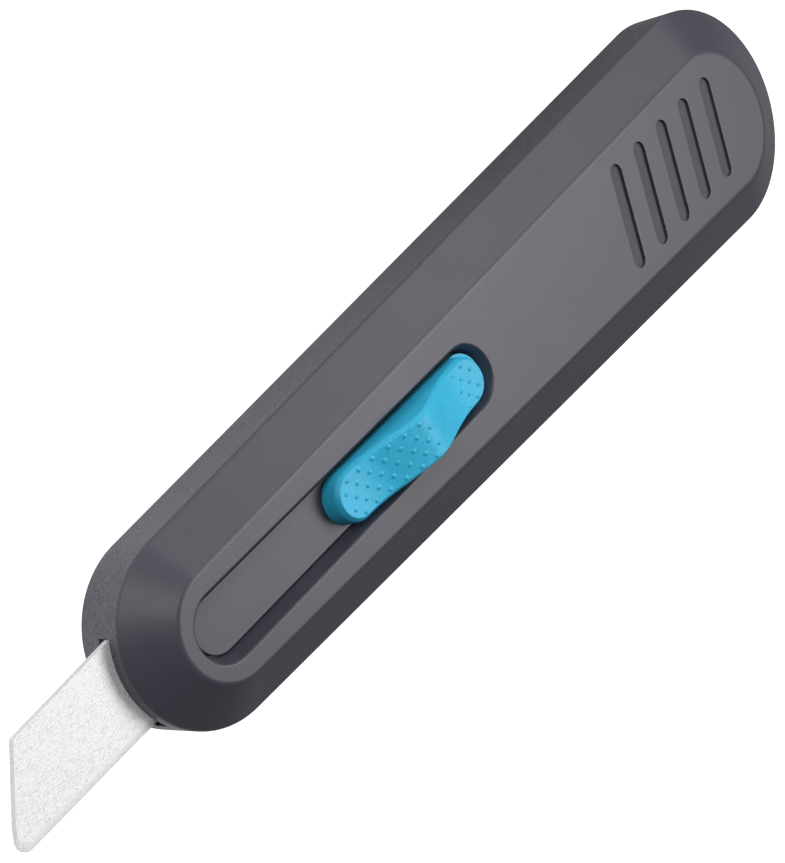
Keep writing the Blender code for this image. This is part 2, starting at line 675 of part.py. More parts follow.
def blade_peg(index, mat, body):
    x = PEG_X[index]
    bottom, top = PEG_Z
    peg = turned(f"blade_peg_{index + 1}", x, PEG_Y,
                 ((PEG_R, bottom), (PEG_R, top - 0.2), (PEG_R - 0.2, top)))
    return finish(peg, mat, body, (x, PEG_Y, bottom))


def blade_clamp(mat, body):
    """An L-shaped plate over the blade; its arm reaches back to the screw beside the finger's lane."""
    bottom, top = CLAMP_Z
    below, above = bottom - OVERSHOOT, top + OVERSHOOT
    plate = prism("blade_clamp", rectangle(*CLAMP_X, *CLAMP_Y, 0.9), bottom, top)
    x, y = CLAMP_SCREW
    cut(plate,
        box("notch", CLAMP_X[0] - OVERSHOOT, CLAMP_ARM_X, CLAMP_ARM_Y, CLAMP_Y[1] + OVERSHOOT, below, above),
        turned("countersink", x, y, ((0.85, below), (0.85, bottom), (1.75, top + 0.2))))
    return finish(plate, mat, body, (x, y, bottom))


def clamp_screw(mat, body):
    x, y = CLAMP_SCREW
    bottom, top = CLAMP_Z
    profile = ((0.3, bottom - 2.2), (SMALL_SCREW_R, bottom - 1.9), (SMALL_SCREW_R, bottom + 0.1),
               (1.25, top - 0.1), (1.25, top))
    return finish(turned("clamp_screw", x, y, profile, SMALL_ARC), mat, body, (x, y, bottom))


def latch_spring(mat, body):
    """Rises from the lower shell to a nose that stands behind the carrier's tail."""
    z = LATCH_BASE_Z
    nose = CARRIER_X[0] - 1.2
    path = [(0.0, z), (4.6, z), (6.2, z + 0.3), (nose - 1.4, LATCH_NOSE_Z - 0.15), (nose, LATCH_NOSE_Z),
            (nose + 0.5, LATCH_NOSE_Z - 0.85)]
    return leaf("latch_spring", path, LATCH_T, mat, body, LATCH_RIVET_X)


def anchor_pin(name, z0, z1, mat, body):
    pin = turned(name, PIN_X, 0.0, ((PIN_R - 0.1, z0), (PIN_R, z0 + 0.1), (PIN_R, z1 - 0.1),
                                    (PIN_R - 0.1, z1)), SMALL_ARC)
    return finish(pin, mat, body, (PIN_X, 0.0, z0))


def hooked_spring(name, x0, x1, z, r, turns, mat, body):
    """An extension spring along X: a coil whose ends are hooks around an upright pin at x0 and x1."""
    hook_r = PIN_R + SPRING_WIRE_R + 0.15
    lead = 1.6
    start, end = x0 + hook_r + lead, x1 - hook_r - lead
    points = [(x0 + hook_r * math.cos(a), hook_r * math.sin(a), z)
              for a in (math.radians(d) for d in range(-90, -271, -30))]
    steps = turns * 10
    for i in range(steps + 1):
        a = math.pi / 2 + 2 * math.pi * i / 10
        x = start + (end - start) * i / steps
        points.append((x, r * math.sin(a), z + r * math.cos(a)))
    points += [(x1 + hook_r * math.cos(a), hook_r * math.sin(a), z)
               for a in (math.radians(d) for d in range(90, -91, -30))]
    curve = bpy.data.curves.new(name, "CURVE")
    curve.dimensions = "3D"
    curve.bevel_depth = SPRING_WIRE_R * MM
    curve.bevel_resolution = 1
    curve.use_fill_caps = True
    spline = curve.splines.new("POLY")
    spline.points.add(len(points) - 1)
    for target, point in zip(spline.points, points):
        target.co = (*(c * MM for c in point), 1.0)
    wire = bpy.data.objects.new(name + "_curve", curve)
    bpy.context.collection.objects.link(wire)
    graph = bpy.context.evaluated_depsgraph_get()
    mesh = bpy.data.meshes.new_from_object(wire.evaluated_get(graph))
    bpy.data.objects.remove(wire)
    coil = bpy.data.objects.new(name, mesh)
    bpy.context.collection.objects.link(coil)
    return finish(coil, mat, body, (x0, 0.0, z), 60)


def main():
    clear_scene()
    grey = make_material("grey_plastic", (0.13, 0.125, 0.15), 0.55)
    dark = make_material("dark_plastic", (0.05, 0.05, 0.055), 0.5)
    cyan = make_material("cyan_plastic", (0.05, 0.45, 0.75), 0.45)
    ceramic = make_material("white_ceramic", (0.9, 0.9, 0.9), 0.5)
    steel = make_material("steel", (0.55, 0.55, 0.56), 0.35, 1.0)
    housing = body_empty("housing_frame", 0.0, 0.0, 0.0)
    slider = body_empty("slider_slide", SHOE_SCREW_X, 0.0, Z_TRACK)
    carrier = body_empty("carrier_slide", CARRIER_X[0], 0.0, CARRIER_Z[0])

    upper_shell(grey, housing)
    lower_shell(grey, housing)
    track_plate(grey, housing)
    for i in range(len(HOUSING_SCREWS)):
        housing_screw(i, steel, housing)
    for i in range(len(TRACK_SCREWS_X)):
        small_screw(f"track_screw_{i + 1}", TRACK_SCREWS_X[i], TRACK_SCREW_Z, steel, housing)
    anchor_pin("slider_spring_pin", *SLIDER_PIN_Z, steel, housing)
    anchor_pin("carrier_spring_pin", *CARRIER_PIN_Z, steel, housing)
    latch_spring(steel, housing)
    rivet("latch_rivet", LATCH_RIVET_X, LATCH_RIVET_Z, -1, 1.9, steel, housing)

    thumb_slider(cyan, slider)
    slider_shoe(dark, slider)
    small_screw("slider_screw", SHOE_SCREW_X, SLIDER_SCREW_Z, steel, slider)
    drive_finger(steel, slider)
    rivet("finger_rivet", FINGER_RIVET_X, FINGER_RIVET_Z, 1, 1.4, steel, slider)
    hooked_spring("slider_return_spring", PIN_X, SHOE_PEG_X, SLIDER_SPRING_Z,
                  SLIDER_SPRING_R, 14, steel, housing)

    blade(ceramic, carrier)
    blade_carrier(dark, carrier)
    blade_clamp(steel, carrier)
    clamp_screw(steel, carrier)
    for i in range(len(PEG_X)):
        blade_peg(i, steel, carrier)
    hooked_spring("carrier_return_spring", PIN_X, CARRIER_PEG_X, CARRIER_SPRING_Z,
                  CARRIER_SPRING_R, 16, steel, housing)


main()
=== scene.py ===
"""The finished look of a retractable utility knife with a ceramic blade.

Lengths in the constants are millimetres. X stations are counted from the middle of the housing, as
in the part's own source, and SHIFT_X takes them to the shared frame. Y and Z are the frame's own.
"""

import math

import bmesh
import bpy
from mathutils import Matrix, Vector


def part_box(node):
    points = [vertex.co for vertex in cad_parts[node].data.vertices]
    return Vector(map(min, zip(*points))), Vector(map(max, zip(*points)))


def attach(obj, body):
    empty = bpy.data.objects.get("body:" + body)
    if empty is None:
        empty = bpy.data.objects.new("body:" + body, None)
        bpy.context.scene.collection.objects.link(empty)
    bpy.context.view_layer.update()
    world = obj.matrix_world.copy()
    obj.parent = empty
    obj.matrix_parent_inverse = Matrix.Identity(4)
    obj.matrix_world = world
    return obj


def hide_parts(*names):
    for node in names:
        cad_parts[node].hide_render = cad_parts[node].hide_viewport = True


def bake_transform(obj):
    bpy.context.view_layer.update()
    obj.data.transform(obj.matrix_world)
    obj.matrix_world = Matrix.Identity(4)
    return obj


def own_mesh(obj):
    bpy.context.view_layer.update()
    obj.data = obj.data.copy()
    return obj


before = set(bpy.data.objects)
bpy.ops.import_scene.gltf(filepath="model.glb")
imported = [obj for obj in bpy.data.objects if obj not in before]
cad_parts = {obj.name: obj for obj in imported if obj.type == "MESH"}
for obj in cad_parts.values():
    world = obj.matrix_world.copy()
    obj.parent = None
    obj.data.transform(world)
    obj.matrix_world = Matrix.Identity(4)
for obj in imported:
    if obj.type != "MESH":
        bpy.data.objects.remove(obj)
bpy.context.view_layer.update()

MM = 0.001

# ---------------------------------------------------------------- sizes

BODY_LENGTH = 155.0
RIM_REAR_R = 17.8
RIM_FRONT_R = 13.1
FACE_REAR_X = -57.7
FACE_REAR_R = 11.0
FACE_FRONT_X = 64.1
FACE_FRONT_R = 7.5
CHAMFER_H = 4.46
CHAMFER_RUN = 6.1
SIDE_H = 7.69
RIM_FILLET = 0.55
FACE_FILLET = 1.3
WALL = 2.4
FACE_WALL = 3.2
SEAM_GAP = 0.14
SEAM_LIP = 0.12

NOSE_X = BODY_LENGTH / 2
REAR_X = -NOSE_X
SHIFT_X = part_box("upper_shell")[1].x / MM - NOSE_X
Z_SEAM = CHAMFER_H
Z_RIM = CHAMFER_H + SIDE_H
Z_FACE = Z_RIM + CHAMFER_H
Z_CEILING = Z_FACE - FACE_WALL

# The upper shell's cavity draws in from a shoulder below the rim to the ceiling.
CAVITY_SHOULDER_DROP = 0.6
CAVITY_DRAW_IN = 1.8

SLOT_X = (12.5, 64.7)
SLOT_FACE_R = 4.75
SLOT_FOOT_R = 3.9
SLOT_FILLET = 0.4
SLOT_FOOT_DROP = 0.15
HAIRLINE = 0.17
TRACK_DROP = 2.2
Z_TRACK = Z_FACE - TRACK_DROP
TRACK_STRIP_T = 0.6
TRACK_STRIP_EDGE = 0.1
TRACK_LAND_FOOT = 0.4
TRACK_FILLET = 0.22
STEM_SLOT_X = (9.3, 41.8)
STEM_SLOT_HALF_W = 1.7
STEM_SLOT_Z = (12.0, 15.0)

BLADE_TIP_X = 99.6
BLADE_LENGTH = 61.5
BLADE_EDGE_Y = 5.58
BLADE_SPINE_Y = -6.62
BLADE_SPINE_TIP = (92.5, -6.07)
BLADE_TAPER_X = 75.0
BLADE_CORNER_R = 1.5
BLADE_Z = (9.05, 10.05)
BLADE_BEVEL = 1.1
BLADE_EDGE_T = 0.24
BLADE_HOLE_R = 1.25
EXIT_REAR_X = 60.0
EXIT_HALF_W = 6.85
EXIT_Z = (8.05, 10.3)

PAD_REAR_X = 13.3
PAD_FRONT_X = 38.5
PAD_FOOT_FRONT_X = 38.85
PAD_R = 3.55
PAD_BEVEL_IN = 0.5
PAD_BEVEL_DROP = 0.7
PAD_DRAFT = 0.045
PAD_PROFILE = (
    (10.0, 0.55), (13.5, 0.65), (16.5, 1.15), (20.0, 2.4), (24.0, 4.1), (26.0, 4.55),
    (28.0, 4.1), (31.3, 2.7), (34.3, 1.35), (37.5, 0.72), (42.1, 0.8),
)
LEDGE_R = 3.6
LEDGE_REAR_X = 12.35
LEDGE_FRONT_X = 18.3
LEDGE_H = 0.75
STEM_X = (9.6, 16.0)
STEM_HALF_W = 1.4
STEM_FOOT_Z = 12.45
STEM_OVERLAP = 0.4
SLIDER_LIFT = 0.15

DOME_R = 0.31
DOME_H = 0.19
DOME_FULLNESS = 0.75
DOME_PITCH_X = 1.18
DOME_PITCH_Y = 1.24
DOME_FRONT_X = 25.98
DOME_FRONT_ROWS = 13
DOME_REAR_X = 11.9
DOME_REAR_ROWS = 4

BAR_CENTRE_X = -43.0
BAR_COUNT = 5
BAR_PITCH = 6.6
BAR_HALF_LENGTH = 6.6
BAR_HALF_W = 1.25
BAR_SLANT = math.radians(18)
BAR_DEPTH = 0.45
BAR_LIP = 0.12

# The lower shell: its locating lip, the hollow above its floor, its ribs and its screw seats.
LIP_GAP = 0.3
LIP_Z = (3.4, 6.2)
HOLLOW_LEVELS = ((3.2, 2.2), (1.5, 4.0), (1.5, 7.0))
RIB_X = (-6.0, 67.0)
RIB_Y = 5.9
RIB_HALF_T = 0.5
RIB_Z = (1.6, 7.0)
HOUSING_SCREWS = ("housing_screw_1", "housing_screw_2", "housing_screw_3")
SCREW_PAD_R = 3.6
SCREW_SEAT_Z = 1.6
HEAD_BORE_R = 2.45
HEAD_BORE_MOUTH_R = 2.62
HEAD_BORE_LIP = 0.12
SHANK_BORE_R = 1.3
SHANK_BORE_TOP_Z = 6.0

PIN_X = -38.0
PIN_R = 0.6
WIRE_R = 0.2
HOOK_GAP = 0.15
HOOK_LEAD = 1.6
SHOE_PEG_X = -0.8
SLIDER_SPRING_Z = 11.0
CARRIER_PEG_X = 26.5
CARRIER_SPRING_Z = 5.6

LATCH_HALF_T = 0.2
LATCH_EDGE_R = 0.08
LATCH_BENDS = (4.0, 2.0, 0.5)
LATCH_HOLE_R = 0.65

# A cutter reaches this far past the solid it cuts, and its all but upright walls lean by a hair.
CLEAR = 1.0
HAIR = 0.02
# A point this far in on a flat face gives the direction of the face for rounding its edge.
FACE_REACH = 9.0

# Steps along the arcs of large, middling and small outlines, a whole circle, and edge roundings.
FINE = 72
MEDIUM = 40
COARSE = 20
ROUND = 48
EDGE_STEPS = 7
PAD_END_STEPS = 44
PAD_SIDE_STEPS = 240
PAD_ACROSS_STEPS = 84


# ---------------------------------------------------------------- outlines

def arc(cx, cy, r, start, end, steps):
    angles = (start + (end - start) * i / steps for i in range(steps + 1))
    return [(cx + r * math.cos(a), cy + r * math.sin(a)) for a in angles]


def hull_outline(rear_x, rear_r, front_x, front_r, steps):
    """Two circles and their outer tangents, counter-clockwise from the front one's right side."""
    turn = math.acos((rear_r - front_r) / (front_x - rear_x))
    front = arc(front_x, 0.0, front_r, -turn, turn, steps)
    rear = arc(rear_x, 0.0, rear_r, turn, 2 * math.pi - turn, steps)
    return front + rear


def stadium(rear_x, front_x, r, steps):
    """Two equal circles and their tangents; the front one is a hair smaller."""
    return hull_outline(rear_x, r, front_x, r - 1e-4, steps)


def circle(x, y, r):
    return arc(x, y, r, 0.0, 2 * math.pi, ROUND)[:-1]


def rounded_rectangle(half_u, half_v, r):
    """A rectangle about the origin with rounded corners."""
    steps = 3
    points = []
    for u, v, start in ((1, 1, 0.0), (-1, 1, 0.5), (-1, -1, 1.0), (1, -1, 1.5)):
        centre_u, centre_v = u * (half_u - r), v * (half_v - r)
        points += arc(centre_u, centre_v, r, start * math.pi, (start + 0.5) * math.pi, steps)
    return points


def fillet(before, corner, after, r, steps):
    """Points of the arc of radius r that rounds a corner between two straight runs."""
    a = (Vector(before) - Vector(corner)).normalized()
    b = (Vector(after) - Vector(corner)).normalized()
    half = a.angle(b) / 2
    reach = r / math.tan(half)
    centre = Vector(corner) + (a + b).normalized() * (r / math.sin(half))
    first = Vector(corner) + a * reach - centre
    last = Vector(corner) + b * reach - centre
    start = math.atan2(first.y, first.x)
    sweep = math.remainder(math.atan2(last.y, last.x) - start, 2 * math.pi)
    return arc(centre.x, centre.y, r, start, start + sweep, steps)


def housing_level(inset):
    """The housing's outline, moved in from the rim towards the flat face by the chamfer's rule."""
    t = inset / CHAMFER_RUN
    rear_x = REAR_X + RIM_REAR_R
    front_x = NOSE_X - RIM_FRONT_R
    return hull_outline(
        rear_x + (FACE_REAR_X - rear_x) * t, RIM_REAR_R + (FACE_REAR_R - RIM_REAR_R) * t,
        front_x + (FACE_FRONT_X - front_x) * t, RIM_FRONT_R + (FACE_FRONT_R - RIM_FRONT_R) * t,
        FINE)


def housing_offset(distance):
    """The rim outline moved inwards by the same distance all round."""
    return hull_outline(REAR_X + RIM_REAR_R, RIM_REAR_R - distance,
                        NOSE_X - RIM_FRONT_R, RIM_FRONT_R - distance, FINE)


def slot_outline(r):
    return stadium(*SLOT_X, r, MEDIUM)


def smooth_height(x):
    """Pad height at station x: a Catmull-Rom curve through the profile's points."""
    points = PAD_PROFILE
    x = min(max(x, points[0][0]), points[-1][0])
    i = max(k for k in range(len(points) - 1) if points[k][0] <= x)
    p0, p1 = points[max(i - 1, 0)], points[i]
    p2, p3 = points[i + 1], points[min(i + 2, len(points) - 1)]
    span = p2[0] - p1[0]
    t = (x - p1[0]) / span
    m1 = (p2[1] - p0[1]) / (p2[0] - p0[0]) * span
    m2 = (p3[1] - p1[1]) / (p3[0] - p1[0]) * span
    t2, t3 = t * t, t * t * t
    return ((2 * t3 - 3 * t2 + 1) * p1[1] + (t3 - 2 * t2 + t) * m1
            + (3 * t2 - 2 * t3) * p2[1] + (t3 - t2) * m2)


# ---------------------------------------------------------------- meshes

def place(point):
    """A point in millimetres, its X counted from the housing's middle, as a point of the frame."""
    x, y, z = point
    return Vector(((x + SHIFT_X) * MM, y * MM, z * MM))


def station(node):
    """Where an upright pin, peg or screw of the CAD model stands, as (x, y)."""
    low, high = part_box(node)
    centre = (low + high) / 2 / MM
    return centre.x - SHIFT_X, centre.y


def in_scene(name, data):
    """A new object of this data, linked to the scene."""
    obj = bpy.data.objects.new(name, data)
    bpy.context.scene.collection.objects.link(obj)
    return obj


def new_object(name, bm):
    bmesh.ops.recalc_face_normals(bm, faces=bm.faces)
    mesh = bpy.data.meshes.new(name)
    bm.to_mesh(mesh)
    bm.free()
    return in_scene(name, mesh)


def skin(bm, rings):
    """The wall through rings of equal length and the cap on the first; gives their vertices."""
    loops = [[bm.verts.new(place(point)) for point in ring] for ring in rings]
    count = len(loops[0])
    for low, high in zip(loops, loops[1:]):
        for i in range(count):
            j = (i + 1) % count
            bm.faces.new((low[i], low[j], high[j], high[i]))
    bm.faces.new(list(reversed(loops[0])))
    return loops


def loft(name, rings):
    """A closed solid through rings of equal length; each ring is a list of (x, y, z)."""
    bm = bmesh.new()
    loops = skin(bm, rings)
    bm.faces.new(loops[-1])
    return new_object(name, bm)


def flat(outline, z):
    return [(x, y, z) for x, y in outline]


def prism(name, outline, z0, z1):
    return loft(name, [flat(outline, z0), flat(outline, z1)])


def box(name, x0, x1, y0, y1, z0, z1):
    return prism(name, [(x0, y0), (x1, y0), (x1, y1), (x0, y1)], z0, z1)


def turned(name, x, y, profile):
    """A solid of revolution about a vertical axis; profile is a list of (radius, z)."""
    return loft(name, [flat(circle(x, y, r), z) for r, z in profile])


def combine(obj, tool, operation):
    """Adds or cuts tool, then removes it."""
    modifier = obj.modifiers.new(operation, "BOOLEAN")
    modifier.operation = operation
    modifier.object = tool
    modifier.solver = "EXACT"
    graph = bpy.context.evaluated_depsgraph_get()
    mesh = bpy.data.meshes.new_from_object(obj.evaluated_get(graph))
    obj.modifiers.clear()
    obj.data = mesh
    bpy.data.objects.remove(tool)


def cut(obj, *tools):
    for tool in tools:
        combine(obj, tool, "DIFFERENCE")


def add(obj, *tools):
    for tool in tools:
        combine(obj, tool, "UNION")


def shade(obj, sharp=32):
    """Smooth shading with crisp edges above an angle, and flat areas kept flat."""
    obj.data.shade_smooth()
    obj.data.set_sharp_from_angle(angle=math.radians(sharp))
    weighted = obj.modifiers.new("weighted", "WEIGHTED_NORMAL")
    weighted.keep_sharp = True
    weighted.weight = 50


def dress(obj, material, body, node):
    """Gives a piece its material and its body, and hides the CAD node it stands for."""
    obj.data.materials.clear()
    obj.data.materials.append(material)
    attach(obj, body)
    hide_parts(node)


# ---------------------------------------------------------------- material nodes

class Graph:
    """A short way to write a material's nodes."""

    def __init__(self, name, roughness, metallic=0.0):
        self.material = bpy.data.materials.new(name)
        self.material.use_nodes = True
        self.tree = self.material.node_tree
        self.shader = self.tree.nodes["Principled BSDF"]
        self.shader.inputs["Metallic"].default_value = metallic
        self.shader.inputs["Roughness"].default_value = roughness
        self.coords = self.tree.nodes.new("ShaderNodeTexCoord").outputs["Object"]

    def node(self, kind, **values):
        node = self.tree.nodes.new(kind)
        for name, value in values.items():
            setattr(node, name, value)
        return node

    def link(self, source, target):
        self.tree.links.new(source, target)

    def stretched(self, sx, sy, sz, turn=0.0):
        """Object coordinates in millimetres, scaled along each axis."""
        mapping = self.node("ShaderNodeMapping")
        mapping.inputs["Scale"].default_value = (sx / MM, sy / MM, sz / MM)
        mapping.inputs["Rotation"].default_value = (0.0, 0.0, turn)
        self.link(self.coords, mapping.inputs["Vector"])
        return mapping.outputs["Vector"]

    def noise(self, vector, scale, detail=2.0, roughness=0.5):
        noise = self.node("ShaderNodeTexNoise")
        noise.inputs["Scale"].default_value = scale
        noise.inputs["Detail"].default_value = detail
        noise.inputs["Roughness"].default_value = roughness
        self.link(vector, noise.inputs["Vector"])
        return noise.outputs["Fac"]

    def ramp(self, factor, *stops):
        """Stops are (position, colour), with colour a number or a triple."""
        ramp = self.node("ShaderNodeValToRGB")
        elements = ramp.color_ramp.elements
        while len(elements) < len(stops):
            elements.new(0.5)
        for element, (position, colour) in zip(elements, stops):
            if not isinstance(colour, tuple):
                colour = (colour, colour, colour)
            element.position = position
            element.color = (*colour, 1.0)
        self.link(factor, ramp.inputs["Fac"])
        return ramp.outputs["Color"]

    def math(self, operation, a, b):
        node = self.node("ShaderNodeMath", operation=operation)
        for socket, value in zip(node.inputs, (a, b)):
            if isinstance(value, (int, float)):
                socket.default_value = value
            else:
                self.link(value, socket)
        return node.outputs["Value"]

    def mix(self, factor, a, b):
        node = self.node("ShaderNodeMix", data_type="RGBA")
        self.link(factor, node.inputs["Factor"])
        self.link(a, node.inputs["A"])
        self.link(b, node.inputs["B"])
        return node.outputs["Result"]

    def bump(self, height, strength, distance_mm):
        bump = self.node("ShaderNodeBump")
        bump.inputs["Strength"].default_value = strength
        bump.inputs["Distance"].default_value = distance_mm * MM
        self.link(height, bump.inputs["Height"])
        self.link(bump.outputs["Normal"], self.shader.inputs["Normal"])

    def paint(self, colour, roughness=None):
        """Gives the material its colour and, where it varies, its roughness."""
        self.link(colour, self.shader.inputs["Base Color"])
        if roughness is not None:
            self.link(roughness, self.shader.inputs["Roughness"])
        return self.material


def shades(rgb, low, high):
    """A colour darkened and lightened by two factors."""
    return tuple(c * low for c in rgb), tuple(c * high for c in rgb)


def moulded_plastic(name, rgb, roughness, grain_mm, depth_mm, spread=0.05):
    """Plastic from a spark-eroded mould: fine grain, faint flow mottling, slightly uneven gloss."""
    g = Graph(name, roughness)
    plain = g.stretched(1, 1, 1)
    grain = g.noise(plain, 1 / grain_mm, 3.0, 0.6)
    mottle = g.noise(plain, 0.16, 3.0)
    fleck = g.noise(plain, 0.6 / grain_mm, 1.0)
    both = g.math("ADD", g.math("MULTIPLY", mottle, 0.5), g.math("MULTIPLY", fleck, 0.5))
    dark, light = shades(rgb, 1 - spread, 1 + spread)
    colour = g.ramp(both, (0.3, dark), (0.7, light))
    gloss = g.ramp(grain, (0.3, roughness - 0.05), (0.7, roughness + 0.05))
    g.bump(grain, 0.6, depth_mm)
    return g.paint(colour, gloss)


def grained_walls(name, rgb, roughness):
    """The housing's plastic: coarse spark-eroded grain on the upright walls, satin on the rest."""
    g = Graph(name, roughness)
    plain = g.stretched(1, 1, 1)
    split = g.node("ShaderNodeSeparateXYZ")
    g.link(plain, split.inputs["Vector"])
    share = g.math("DIVIDE", split.outputs["Z"], Z_FACE)
    low, high = Z_SEAM / Z_FACE, Z_RIM / Z_FACE
    walls = g.ramp(share, (low - 0.01, 0.0), (low + 0.01, 1.0), (high - 0.03, 1.0), (high, 0.0))
    grain = g.noise(plain, 3.6, 3.0, 0.7)
    fine = g.noise(plain, 5.0, 2.0, 0.6)
    mottle = g.noise(plain, 0.12, 3.0)
    mixed = g.math("ADD", g.math("MULTIPLY", mottle, 0.7), g.math("MULTIPLY", fine, 0.3))
    dark, light = shades(rgb, 0.95, 1.05)
    satin = g.ramp(mixed, (0.35, dark), (0.65, light))
    dark, light = shades(rgb, 0.45, 1.75)
    rough = g.ramp(grain, (0.38, dark), (0.62, light))
    colour = g.mix(walls, satin, rough)
    depth = g.math("ADD", g.math("MULTIPLY", walls, 0.9), 0.08)
    g.bump(g.math("MULTIPLY", grain, depth), 1.0, 0.16)
    return g.paint(colour, g.ramp(fine, (0.3, roughness - 0.05), (0.7, roughness + 0.05)))


def ceramic(name, rgb, streak_turn, spread):
    """Ground zirconia: fine scratches one way, and a faint cloudiness."""
    g = Graph(name, 0.42)
    g.shader.inputs["Specular IOR Level"].default_value = 0.55
    fine = g.noise(g.stretched(1.6, 9.0, 9.0, streak_turn), 1.0, 0.0)
    speck = g.noise(g.stretched(6.0, 9.0, 9.0, streak_turn), 1.0, 0.0)
    mixed = g.math("ADD", g.math("MULTIPLY", fine, 0.4), g.math("MULTIPLY", speck, 0.6))
    dark, light = shades(rgb, 1 - spread, 1.0)
    colour = g.ramp(mixed, (0.32, dark), (0.52, light))
    gloss = g.ramp(fine, (0.35, 0.36), (0.65, 0.5))
    g.bump(fine, 0.5, 0.012)
    return g.paint(colour, gloss)


def steel(name, rgb, roughness, along=0.3):
    """Brushed or ground steel with fine lines along X; a larger along makes them shorter."""
    g = Graph(name, roughness, 1.0)
    lines = g.noise(g.stretched(along, 14.0, 14.0), 1.0, 3.0, 0.6)
    dark, light = shades(rgb, 0.86, 1.08)
    g.bump(lines, 0.4, 0.006)
    return g.paint(g.ramp(lines, (0.3, dark), (0.7, light)),
                   g.ramp(lines, (0.3, roughness - 0.08), (0.7, roughness + 0.1)))


HOUSING_PLASTIC = grained_walls("housing_plastic", (0.058, 0.054, 0.073), 0.42)
# The grip bars' floors: a coarser grain than the face, and a darker colour that is painted shade in
# the sunk bars.
SUNK_GRAIN_AND_PAINTED_SHADE = moulded_plastic("sunk_grain_and_painted_shade", (0.036, 0.034, 0.044), 0.55, 0.25, 0.06, spread=0.3)
SLIDER_PLASTIC = moulded_plastic("slider_plastic", (0.03, 0.465, 0.72), 0.52, 0.3, 0.02,
                                 spread=0.12)
INNER_PLASTIC = moulded_plastic("inner_plastic", (0.045, 0.045, 0.05), 0.5, 0.3, 0.01)
BLADE_FACE = ceramic("blade_face", (0.99, 0.99, 0.99), 0.0, 0.3)
# The blade's upright edge bands: ground scratches across them, and a grey that is painted shade on
# faces that get less light.
BLADE_GROUND_AND_PAINTED_SHADE = ceramic("blade_ground_and_painted_shade", (0.66, 0.66, 0.66), math.pi / 2, 0.35)
BLACKED_STEEL = steel("blacked_steel", (0.1, 0.1, 0.11), 0.4)
BRIGHT_STEEL = steel("bright_steel", (0.55, 0.55, 0.56), 0.32)
SPRING_STEEL = steel("spring_steel", (0.5, 0.5, 0.5), 0.26, 2.0)


# ---------------------------------------------------------------- housing

def shell_profile(z_from, toward):
    """(inset, z) from the seam over the rim to the flat face; toward is +1 up or -1 down."""
    inner = CHAMFER_RUN + FACE_REACH
    if toward > 0:
        corners = ((0.0, z_from), (0.0, Z_RIM), (CHAMFER_RUN, Z_FACE), (inner, Z_FACE))
        profile = [(SEAM_LIP, z_from), (0.0, z_from + SEAM_LIP)]
        profile += fillet(*corners[:3], RIM_FILLET, EDGE_STEPS)
        return profile + fillet(*corners[1:], FACE_FILLET, EDGE_STEPS)
    start = CHAMFER_RUN * (Z_SEAM - z_from) / CHAMFER_H
    corners = ((start, z_from), (CHAMFER_RUN, 0.0), (inner, 0.0))
    profile = [(start + SEAM_LIP, z_from), (start + SEAM_LIP / 2, z_from - SEAM_LIP)]
    return profile + fillet(*corners, FACE_FILLET, EDGE_STEPS)


def slot_cutter():
    """The thumb slot: upright at its foot, then leaning outwards to a rounded lip at the face."""
    foot, lip = (SLOT_FOOT_R, Z_TRACK - SLOT_FOOT_DROP), (SLOT_FACE_R, Z_FACE)
    profile = [(SLOT_FOOT_R, Z_CEILING - CLEAR), foot]
    profile += fillet(foot, lip, (SLOT_FACE_R + FACE_REACH, Z_FACE), SLOT_FILLET, 6)
    profile += [(profile[-1][0] + HAIR, Z_FACE + CLEAR)]
    return loft("slot", [flat(slot_outline(r), z) for r, z in profile])


def grip_bar(x):
    """A cutter for one slanted round-ended bar with a softened lip and foot."""
    z0 = Z_FACE - BAR_DEPTH
    levels = ((-BAR_LIP, z0), (-BAR_LIP / 4, z0 + BAR_LIP / 3), (0.0, z0 + BAR_LIP),
              (HAIR, Z_FACE - BAR_LIP), (BAR_LIP / 3, Z_FACE - BAR_LIP / 4), (BAR_LIP, Z_FACE),
              (BAR_LIP + HAIR, Z_FACE + CLEAR))
    turn = Matrix.Rotation(math.pi / 2 - BAR_SLANT, 2)
    rings = []
    for grow, z in levels:
        outline = stadium(-BAR_HALF_LENGTH, BAR_HALF_LENGTH, BAR_HALF_W + grow, COARSE)
        slanted = [turn @ Vector(point) for point in outline]
        rings.append([(x + p.x, p.y, z) for p in slanted])
    return loft("bar", rings)


def mark_sunk_floors(shell):
    """Gives the floors of the grip bars the shell's second material: a coarser grain, and a darker
    colour that is painted shade in the sunk bars.
    """
    floor_z = (Z_FACE - BAR_DEPTH) * MM
    front_x = place((BAR_CENTRE_X / 2, 0, 0)).x
    half_w = FACE_REAR_R * 0.8 * MM
    for face in shell.data.polygons:
        x, y, z = face.center
        level = face.normal.z > 0.7 and abs(z - floor_z) < BAR_LIP * MM
        face.material_index = int(level and x < front_x and abs(y) < half_w)


def housing_upper():
    profile = shell_profile(Z_SEAM + SEAM_GAP / 2, 1)
    shell = loft("housing_upper", [flat(housing_level(inset), z) for inset, z in profile])
    cut(shell, loft("cavity", [
        flat(housing_offset(WALL), Z_SEAM - CLEAR),
        flat(housing_offset(WALL), Z_RIM - CAVITY_SHOULDER_DROP),
        flat(housing_offset(WALL + CAVITY_DRAW_IN), Z_CEILING)]))
    cut(shell, slot_cutter(),
        box("exit", EXIT_REAR_X, NOSE_X + CLEAR, -EXIT_HALF_W, EXIT_HALF_W, *EXIT_Z))
    for i in range(BAR_COUNT):
        cut(shell, grip_bar(BAR_CENTRE_X + (i - (BAR_COUNT - 1) / 2) * BAR_PITCH))
    shade(shell)
    dress(shell, HOUSING_PLASTIC, "housing", "upper_shell")
    # The bar floors get the darker plastic, which is painted shade in the sunk bars.
    shell.data.materials.append(SUNK_GRAIN_AND_PAINTED_SHADE)
    mark_sunk_floors(shell)


